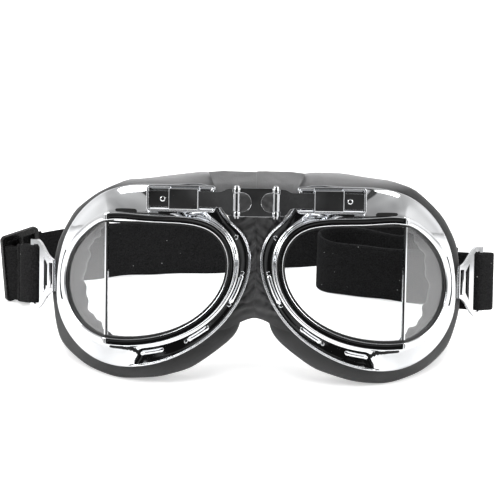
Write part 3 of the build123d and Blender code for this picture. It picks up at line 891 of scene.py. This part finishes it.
def cushion_piece(name, side):
    """A padded leather ring behind the lip, with gentle lumps and a wavy inner edge."""
    margins = np.interp(PLACES, np.arange(len(EYE_POINTS) + 1), MARGINS[side] + MARGINS[side][:1])
    for _ in range(MARGIN_SMOOTHING):
        margins = (np.roll(margins, 1) + 2 * margins + np.roll(margins, -1)) / 4
    outward = ASIDE
    for _ in range(OUTWARD_SMOOTHING):
        outward = unit(np.roll(outward, 1, axis=0) + 2 * outward + np.roll(outward, -1, axis=0))
    nose_back = NOSE_BACK * np.maximum(0.0, 1 - LIP[:, 0] / NOSE_REACH)
    around = np.linspace(0, 2 * pi, AROUND, endpoint=False)
    lumps = 0.35 * np.sin(9 * around + side) + 0.25 * np.sin(17 * around + 2.3)
    waves = 0.7 * np.sin(13 * around + 0.6 * side) + 0.45 * np.sin(29 * around + 1.9)
    reach = INNER_SHARE_NOSE + (1 - INNER_SHARE_NOSE) * smooth_step(LIP[:, 0], *INNER_CHANGE)
    rings = []
    for share, further, back in CUSHION_SECTION:
        behind = smooth_step(back, 4.0, 9.0)
        inner = smooth_step(-further, 8.0, 12.0)
        inward = np.where(further < -6.0, further * reach, further)
        step = margins * share + inward + lumps * behind * (1 - inner) + waves * inner * reach
        depth = lip_depth(LIP[:, 0]) + back + nose_back
        line = np.stack([LIP[:, 0], depth, LIP[:, 1]], axis=1)
        rings.append(line + outward * step[:, None])
    return ring_piece(name, rings, side)


# the first rings of a cushion are held by the frame; the rest swells, by no more than the cap in metres
HELD_RINGS = 3
PUFF_PRESSURE = 3.0
PUFF_STEPS = 16
PUFF_CAP = 0.0011


def puff(piece):
    """Swells a closed cover with Blender's cloth, moving no point further than the cap."""
    before = points_of(piece)
    group = piece.vertex_groups.new(name="held")
    group.add(list(range(HELD_RINGS * AROUND)), 1.0, "REPLACE")
    cloth = piece.modifiers.new("stuffing", "CLOTH")
    settings = cloth.settings
    settings.quality = 5
    settings.mass = 0.2
    settings.tension_stiffness = 12
    settings.compression_stiffness = 8
    settings.shear_stiffness = 4
    settings.bending_stiffness = 0.4
    settings.use_pressure = True
    settings.uniform_pressure_force = PUFF_PRESSURE
    settings.effector_weights.gravity = 0
    settings.vertex_group_mass = "held"
    cloth.point_cache.frame_start = 1
    cloth.point_cache.frame_end = PUFF_STEPS
    for step in range(1, PUFF_STEPS + 1):
        bpy.context.scene.frame_set(step)
    apply_modifiers(piece)
    bpy.context.scene.frame_set(1)
    move = points_of(piece) - before
    far = np.linalg.norm(move, axis=1, keepdims=True)
    move_points(piece, before + move * np.minimum(1.0, PUFF_CAP / np.maximum(far, 1e-9)))
    piece.vertex_groups.clear()


def keep_above_table(piece):
    """Flattens what would pass below the table."""
    points = points_of(piece)
    points[:, 2] = np.maximum(points[:, 2], 0.0)
    move_points(piece, points)


for side, name in SIDES:
    pad = cushion_piece(name + "_pad", side)
    puff(pad)
    smooth = pad.modifiers.new("smooth", "SUBSURF")
    smooth.levels = 1
    smooth.render_levels = 1
    apply_modifiers(pad)
    pad.data.shade_smooth()
    keep_above_table(pad)
    finish_with(pad, LEATHER, name + "_eye")
    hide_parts(name + "_cushion")

# ---------------- nose leather
# the gusset's edge: height and half width, from its lower end up
NOSE_EDGE = [(-24.0, 19.0), (-19.0, 17.0), (-13.0, 12.5), (-6.0, 9.0), (3.0, 7.0), (12.0, 7.5)]
NOSE_EDGE += [(20.0, 9.5), (27.0, 13.0), (35.0, 16.0), (42.0, 20.0), (47.6, 22.0)]
NOSE_TOP = 46.9
NOSE_LOW = -19.0
NOSE_BEHIND = 12.6
NOSE_THICK = 0.0012
NOSE_ROWS = 150
NOSE_COLUMNS = 60


def nose_depth(signed, z, out):
    """How far back the gusset lies: a bulge, a roll over the bridge, wrinkles and a fold."""
    bulge = 3.4 * (1 - out**2) * smooth_step(z, -30.0, -8.0) * (1 - smooth_step(z, 24.0, 33.0))
    over = 1.5 * smooth_step(z, 36.0, 42.0) * (1 - smooth_step(out, 0.5, 0.95))
    calm = smooth_step(z, -21.0, -12.0) * (1 - 0.93 * smooth_step(z, 26.0, 38.0))
    crease = 1.25 * sin(1.45 * z + 11.25 * out + 1.3 * sin(0.35 * z + 0.4 * signed))
    crease += 0.8 * sin(0.85 * z - 1.1 * signed + 2.1 + 0.8 * sin(0.5 * signed))
    pull = 0.45 + 0.55 * out
    off_fold = (signed - 1.2 * sin(0.16 * z)) / 0.9
    fold = 0.9 * np.exp(-(off_fold**2)) * smooth_step(z, -18, 4) * (1 - smooth_step(z, 20, 28))
    return NOSE_BEHIND - bulge - over - 0.75 * calm * crease * pull + fold


def nose_half(name, side):
    """Half of the wrinkled gusset between the cushions, from the middle out."""
    edge_heights, edge_widths = np.array(NOSE_EDGE).T
    verts = []
    for r in range(NOSE_ROWS + 1):
        down = r / NOSE_ROWS
        for c in range(NOSE_COLUMNS + 1):
            out = c / NOSE_COLUMNS
            low = NOSE_LOW - 6.0 * smooth_step(out, 0.0, 0.9)
            top = NOSE_TOP + 0.2 * sin(2.2 * out + side) - 0.5 * smooth_step(out, 0.62, 1.0)
            z = top + (low - top) * down
            signed = float(np.interp(z, edge_heights, edge_widths)) * out * side
            verts.append((signed, nose_depth(signed, z, out), z))
    return new_mesh(name, stand(np.array(verts)), grid_faces(NOSE_ROWS + 1, NOSE_COLUMNS + 1))


for side, name in SIDES:
    half = nose_half(name + "_nose_leather", side)
    outward_normals(half)
    thick = half.modifiers.new("thick", "SOLIDIFY")
    thick.thickness = NOSE_THICK
    thick.offset = -1.0
    apply_modifiers(half)
    half.data.shade_smooth()
    finish_with(half, LEATHER)
    if side < 0:
        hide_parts("nose_leather")
    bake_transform(half)

# ---------------- elastic strap
# the long band's way on the table, seen from above, from the slider round both turns
STRAP_WAY = [
    (-116.2, 91.2),
    (-112.0, 94.3),
    (-99.0, 100.6),
    (-60.0, 110.8),
    (-20.0, 112.6),
    (20.0, 121.0),
    (58.0, 127.5),
    (86.0, 123.0),
    (96.5, 110.0),
    (86.0, 99.5),
    (62.0, 105.5),
    (44.0, 109.5),
    (32.6, 102.0),
    (35.0, 93.0),
    (48.0, 88.2),
    (72.0, 83.0),
    (86.0, 80.5),
]
# behind the left eye the band leans back a little, most at this place across
LEAN_BACK = radians(14.0)
LEAN_MIDDLE = -0.064
LEAN_REACH = 0.040
# uneven edges, in metres
BAND_SWAY = 0.0008
BAND_STEPS = 260

BRACKET_TURN = radians(38.0)
BRACKET_AXIS = np.array([95.5, 39.0, -3.4])
SLIDER_AT = (-121.2, 82.0)
SLIDER_TURN = radians(45.0)
SLIDER_LIFT = 1.6

# shares of the band's width and thickness where its edges are rounded
EDGE_IN = 0.03
EDGE_POINTS = [(0.35, 0.493), (0.0, 0.5), (-0.35, 0.493)]
LOOP_WIDE = 0.0275
LOOP_THICK = 0.0014
RUN_THICK = 0.0015
LAYER_THICK = 0.0013


def band(name, centres, ups, widths, thick, waves=0.0):
    """A flat length of webbing with rounded edges along the centres, all in metres."""
    tangents = unit(np.gradient(centres, axis=0))
    sides = unit(np.cross(tangents, unit(ups)))
    ups = unit(np.cross(sides, tangents))
    run = run_along(centres)
    across = 12
    half = [(0.5, -0.5 + EDGE_IN + (1 - 2 * EDGE_IN) * k / across) for k in range(across + 1)]
    half += EDGE_POINTS
    section = half + [(-a, -b) for a, b in half]
    verts, flat = [], []
    for k, centre in enumerate(centres):
        sway = waves * sin(run[k] * 90) + 0.6 * waves * sin(run[k] * 211 + 1)
        for a, b in section:
            verts.append(centre + sides[k] * (a * thick) + ups[k] * (b * widths[k] + sway * b))
            flat.append((run[k], b * widths[k]))
    count = len(section)
    piece = new_mesh(name, verts, tube_faces(len(centres), count))
    mesh = piece.data
    layer = mesh.uv_layers.new(name="cloth")
    for polygon in mesh.polygons:
        columns = [i % count for i in polygon.vertices]
        inside = min(columns) >= across + 3 and max(columns) <= 2 * across + 4 and len(columns) == 4
        polygon.material_index = 1 if inside else 0
        for loop in polygon.loop_indices:
            layer.data[loop].uv = flat[mesh.loops[loop].vertex_index]
    return piece


def strap_finish(piece, body=None):
    """Knit outside and ribbed inside, from the webbing slot."""
    piece.data.materials.clear()
    piece.data.materials.append(KNIT)
    piece.data.materials.append(RIBBED)
    if body:
        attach(piece, body)


def bracket_point(side, along, ahead):
    """A point beside a bracket: mm along its plate from the rod, and mm in front of it."""
    plate = np.array([cos(BRACKET_TURN), sin(BRACKET_TURN), 0.0])
    front = np.array([sin(BRACKET_TURN), -cos(BRACKET_TURN), 0.0])
    point = BRACKET_AXIS + plate * along + front * ahead
    point[0] *= side
    return stand(point)


def slider_point(along, ahead):
    """A point at the slider, half a strap high: mm along its plate and mm behind it."""
    x, y = on_table(SLIDER_AT)
    point = (
        x + along * cos(SLIDER_TURN) - ahead * sin(SLIDER_TURN),
        y + along * sin(SLIDER_TURN) + ahead * cos(SLIDER_TURN),
        STRAP_WIDTH / 2 + SLIDER_LIFT,
    )
    return np.array(point) / 1000


LEANED_UP = np.array([0.0, sin(LEAN), cos(LEAN)])
UPRIGHT = np.array([0.0, 0.0, 1.0])

way = open_spline(on_table(STRAP_WAY), BAND_STEPS)
lying = np.column_stack([way, np.full(len(way), STRAP_WIDTH / 2)]) / 1000
leaning = np.clip(1 - ((lying[:, 0] - LEAN_MIDDLE) / LEAN_REACH) ** 2, 0, 1) ** 2 * LEAN_BACK
lying_ups = np.column_stack([np.zeros(len(lying)), np.sin(leaning), np.cos(leaning)])
lying_widths = np.full(len(lying), STRAP_WIDTH / 1000)
main_band = band("strap_band", lying, lying_ups, lying_widths, STRAP_THICK / 1000, BAND_SWAY)
strap_finish(main_band, "bridge")
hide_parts("strap_back")


def run_shape(points, up_shares, widths, count=60):
    """Centres, up directions and widths along a strap that turns from the lean to upright."""
    shape = open_spline(np.column_stack([points, up_shares, widths]), count)
    ups = LEANED_UP + (UPRIGHT - LEANED_UP) * shape[:, 3:4]
    return shape[:, :3], ups, shape[:, 4]


def run_band(name, points, up_shares, widths, thick):
    """A length of strap through the points."""
    return band(name, *run_shape(points, up_shares, widths), thick)


def cut_run(names, points, up_shares, widths, thick, cut_at):
    """One length of strap as two pieces that meet at the place nearest to the cut."""
    centres, ups, wide = run_shape(points, up_shares, widths, 80)
    cut = int(np.argmin(np.linalg.norm(centres - cut_at, axis=1)))
    parts = (slice(0, cut + 1), slice(cut, None))
    return [band(name, centres[k], ups[k], wide[k], thick) for name, k in zip(names, parts)]


# the sewn loop on the right bracket, and the length from it down to the table
right_path = [(19.6, -8.0), (21.4, -4.4), (22.7, -0.6), (20.8, 2.0)]
right_path += [(16.0, 2.3), (12.3, 1.5), (11.3, -1.4), (9.8, -7.0)]
loop_points = [bracket_point(1, p, q) for p, q in right_path]
right_loop = run_band("right_loop", loop_points, [0] * 8, [LOOP_WIDE] * 8, LOOP_THICK)
strap_finish(right_loop, "right_bracket")
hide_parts("right_strap_loop")

table_end = np.append(on_table(STRAP_WAY[-1]), STRAP_WIDTH / 2) / 1000
inside_band = np.append(on_table((79.0, 81.8)), STRAP_WIDTH / 2) / 1000
right_cut = np.array([0.1056, 0.0020, 0.0255])
right_way = [
    bracket_point(1, 9.8, -7.0),
    bracket_point(1, 8.6, -13.0),
    right_cut,
    np.array([0.1048, 0.0120, 0.0203]),
    np.array([0.1012, 0.0184, 0.0166]),
    table_end,
    inside_band,
]
right_run, right_hang = cut_run(
    ("right_run", "right_hang"),
    right_way[::-1],
    [1.0, 1.0, 0.9, 0.65, 0.3, 0.0, 0.0],
    [0.0298, 0.030, 0.030, 0.0295, 0.0285, LOOP_WIDE, LOOP_WIDE],
    RUN_THICK,
    right_cut,
)
strap_finish(right_run)
strap_finish(right_hang)
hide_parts("strap_right_run")
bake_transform(right_run)
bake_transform(right_hang)

# the left bracket's loop, both its layers to the slider, and the weave through it
left_path = [(22.6, -0.4), (21.6, 1.6), (17.0, 2.4), (12.6, 1.9)]
left_path += [(11.2, -0.2), (12.4, -2.3), (17.0, -2.9), (22.0, -2.8)]
loop_points = [bracket_point(-1, p, q) for p, q in left_path]
left_loop = run_band("left_loop", loop_points, [0] * 8, [LOOP_WIDE] * 8, LOOP_THICK)
strap_finish(left_loop, "left_bracket")
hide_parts("left_strap_loop")

LEFT_LAYERS = {
    "outer": (
        [(22.2, -1.4), (24.6, 0.4)],
        [(-1.6, -10.6), (-3.4, -7.6), (-6.2, -8.2), (-9.0, -6.0), (-9.9, -3.0), (-9.7, -0.6)],
    ),
    "inner": (
        [(21.8, -2.9), (25.6, -3.6)],
        [(0.4, -8.6), (-2.4, -6.0), (-5.4, -6.2), (-7.4, -4.6), (-8.1, -2.6), (-8.0, -0.6)],
    ),
}
LEFT_UPRIGHT = [0.0, 0.1, 0.8, 0.95, 1.0, 1.0, 1.0, 1.0]
LEFT_WIDTHS = [LOOP_WIDE, 0.0277, 0.0290, 0.0295, 0.030, 0.030, 0.030, 0.030]
LEFT_CUT = 0.45
for layer, (at_bracket, at_slider) in LEFT_LAYERS.items():
    points = [bracket_point(-1, p, q) for p, q in at_bracket]
    points += [slider_point(p, q) for p, q in at_slider]
    cut_at = points[1] + (points[2] - points[1]) * LEFT_CUT
    hang, run = cut_run(
        (f"left_hang_{layer}", f"left_run_{layer}"),
        points,
        LEFT_UPRIGHT,
        LEFT_WIDTHS,
        LAYER_THICK,
        cut_at,
    )
    strap_finish(hang)
    strap_finish(run)
    if layer == "outer":
        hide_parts("strap_left_run")
    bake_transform(hang)
    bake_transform(run)

weave_path = [(-9.6, -0.9), (-9.0, 1.4), (-6.0, 3.0), (0.0, 3.1), (5.0, 2.9), (10.0, 2.7), (14.6, 2.4)]
weave_points = [slider_point(p, q) for p, q in weave_path]
weave = run_band("slider_weave", weave_points, [1] * 7, [STRAP_WIDTH / 1000] * 7, RUN_THICK)
strap_finish(weave, "bridge")
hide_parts("strap_slider_weave")

# ---------------- floor, light and camera
TARGET = Vector((0.0063, -0.0372, 0.05615))
VIEW_UP = radians(25.0)
VIEW_TURN = radians(0.9)
VIEW_FAR = 0.5464
VIEW_ROLL = radians(0.6)
LENS = 86.4
SENSOR = 36.0
FLOOR_SIDE = 3.0
FLOOR_FRONT = -0.6
FLOOR_GLOW = 0.45

forward = Vector((-sin(VIEW_TURN) * cos(VIEW_UP), cos(VIEW_TURN) * cos(VIEW_UP), -sin(VIEW_UP)))
camera_data = bpy.data.cameras.new("camera")
camera_data.lens = LENS
camera_data.sensor_width = SENSOR
camera = bpy.data.objects.new("camera", camera_data)
bpy.context.scene.collection.objects.link(camera)
camera.location = TARGET - forward * VIEW_FAR
upright = forward.to_track_quat("-Z", "Y").to_matrix()
camera.rotation_euler = (upright @ Matrix.Rotation(VIEW_ROLL, 3, "Z")).to_euler()
bpy.context.scene.camera = camera

floor_corners = [(-FLOOR_SIDE, FLOOR_FRONT, 0), (FLOOR_SIDE, FLOOR_FRONT, 0)]
floor_corners += [(FLOOR_SIDE, FLOOR_SIDE, 0), (-FLOOR_SIDE, FLOOR_SIDE, 0)]
floor = new_mesh("floor", floor_corners, [(0, 1, 2, 3)], smooth=False)
floor_look = new_look("floor_paper")
seen = floor_look.add("ShaderNodeLightPath").outputs["Is Camera Ray"]
floor_look.surface(
    {
        "Base Color": grey(0.82),
        "Roughness": 0.9,
        "Emission Color": (1, 1, 1, 1),
        "Emission Strength": floor_look.ramp(seen, 0.0, 1.0, 0.0, FLOOR_GLOW),
    }
)
floor.data.materials.append(floor_look.owner)


def area_light(name, place, aim, size, power):
    """A soft square light."""
    data = bpy.data.lights.new(name, "AREA")
    data.shape = "SQUARE"
    data.size = size
    data.energy = power
    light = bpy.data.objects.new(name, data)
    bpy.context.scene.collection.objects.link(light)
    light.location = place
    light.rotation_euler = (Vector(aim) - Vector(place)).to_track_quat("-Z", "Y").to_euler()
    return light


top_light = area_light("top", (0.0, 0.1, 1.4), (0, 0, 0), 1.4, 30.0)
top_light.visible_glossy = False
area_light("key_left", (-1.1, -0.5, 0.9), (0, 0, 0.03), 0.8, 9.0)
area_light("key_right", (1.2, -0.4, 0.8), (0, 0, 0.03), 0.8, 7.0)

# the studio: white, with what the chrome mirrors drawn into it
DARK_SIDE = Vector((0.0, -0.94, 0.34)).normalized()
DARK_EDGE = (0.78, 0.83)
UPRIGHT_FROM = (radians(44), radians(46))
UPRIGHT_TO = (radians(53), radians(55))
UPRIGHT_LEVEL = 0.06

world = bpy.data.worlds.new("studio")
bpy.context.scene.world = world
studio = Nodes(world, "ShaderNodeOutputWorld")
direction = studio.add("ShaderNodeTexCoord").outputs["Generated"]
x_axis, y_axis, z_axis = studio.add("ShaderNodeSeparateXYZ", {"Vector": direction}).outputs

# a dark side ahead of the goggles, with soft uneven shades in it
facing = studio.add("ShaderNodeVectorMath", {0: direction, 1: DARK_SIDE}, operation="DOT_PRODUCT")
ahead_share = studio.ramp(facing.outputs["Value"], *DARK_EDGE, 0.0, 1.0)
dark_level = studio.ramp(studio.noise(5.0, 3.0, 0.5, direction), 0.48, 0.72, 0.006, 0.11)
# a greyer ceiling, brighter towards the walls, with broad cloudy changes
ceiling = studio.ramp(z_axis, 0.25, 0.95, 1.0, 0.42)
clouds = studio.ramp(studio.noise(1.6, 1.0, 0.5, direction), 0.35, 0.65, 0.72, 1.12)
bright = studio.math("MULTIPLY", ceiling, clouds)
# a narrow dark upright at each side
aside = studio.math("ABSOLUTE", x_axis)
heading = studio.math("ARCTAN2", aside, studio.math("MULTIPLY", y_axis, -1.0))
past_start = studio.ramp(heading, *UPRIGHT_FROM, 0.0, 1.0)
before_end = studio.ramp(heading, *UPRIGHT_TO, 1.0, 0.0)
upright_share = studio.math("MULTIPLY", past_start, before_end)
walls = studio.between(upright_share, bright, UPRIGHT_LEVEL)
strength = studio.between(ahead_share, walls, dark_level)
mirrored = studio.add("ShaderNodeBackground", {"Color": (1, 1, 1, 1), "Strength": strength})
plain = studio.add("ShaderNodeBackground", {"Color": (1, 1, 1, 1), "Strength": 1.0})
seen = studio.add("ShaderNodeLightPath").outputs["Is Camera Ray"]
studio.show(studio.add("ShaderNodeMixShader", {0: seen, 1: mirrored.outputs[0], 2: plain.outputs[0]}))
bpy.context.scene.view_settings.view_transform = "Standard"

# ---------------- finish
PLATED = ["mullion", "arm", "keeper", "arm_rivet", "hinge_pin", "strap_bracket", "bridge_plate"]
CAD_LOOKS = dict.fromkeys(PLATED, CHROME)
CAD_LOOKS |= {"gasket": RUBBER, "front_pane": CLEAR, "side_pane": GREY, "slider": PLASTIC}
# width of the rounding on each kind of edge, in metres
ROUNDED = {
    "arm": 0.00042,
    "keeper": 0.00055,
    "arm_rivet": 0.0001,
    "strap_bracket": 0.00035,
    "bridge_plate": 0.00042,
    "mullion": 0.0003,
    "slider": 0.0009,
}
SHARP_EDGE = radians(35)
FLAT_EDGE = radians(1.5)
SAME_POINT = 1e-6


def rounded_copy(node_name, width):
    """A copy of a CAD node with its edges rounded off, which replaces it."""
    node = nodes[node_name]
    mesh = bmesh.new()
    mesh.from_mesh(node.data)
    bmesh.ops.remove_doubles(mesh, verts=mesh.verts, dist=SAME_POINT)
    bmesh.ops.dissolve_limit(mesh, angle_limit=FLAT_EDGE, verts=mesh.verts, edges=mesh.edges)
    bmesh.ops.recalc_face_normals(mesh, faces=mesh.faces)
    data = bpy.data.meshes.new(node_name + "_rounded")
    mesh.to_mesh(data)
    mesh.free()
    piece = bpy.data.objects.new(node_name + "_rounded", data)
    bpy.context.scene.collection.objects.link(piece)
    bevel = piece.modifiers.new("round", "BEVEL")
    bevel.width = width
    bevel.segments = 3
    bevel.limit_method = "ANGLE"
    bevel.angle_limit = SHARP_EDGE
    apply_modifiers(piece)
    piece.data.shade_smooth()
    weighted = piece.modifiers.new("flat faces", "WEIGHTED_NORMAL")
    weighted.weight = 90
    weighted.keep_sharp = False
    apply_modifiers(piece)
    return piece


for node_name, node in nodes.items():
    kind = node_name.removeprefix("left_").removeprefix("right_")
    if kind not in CAD_LOOKS or node.hide_render:
        continue
    if kind in ROUNDED:
        piece = rounded_copy(node_name, ROUNDED[kind])
        finish_with(piece, CAD_LOOKS[kind], node["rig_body"])
        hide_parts(node_name)
    else:
        node.data.materials.clear()
        node.data.materials.append(CAD_LOOKS[kind])
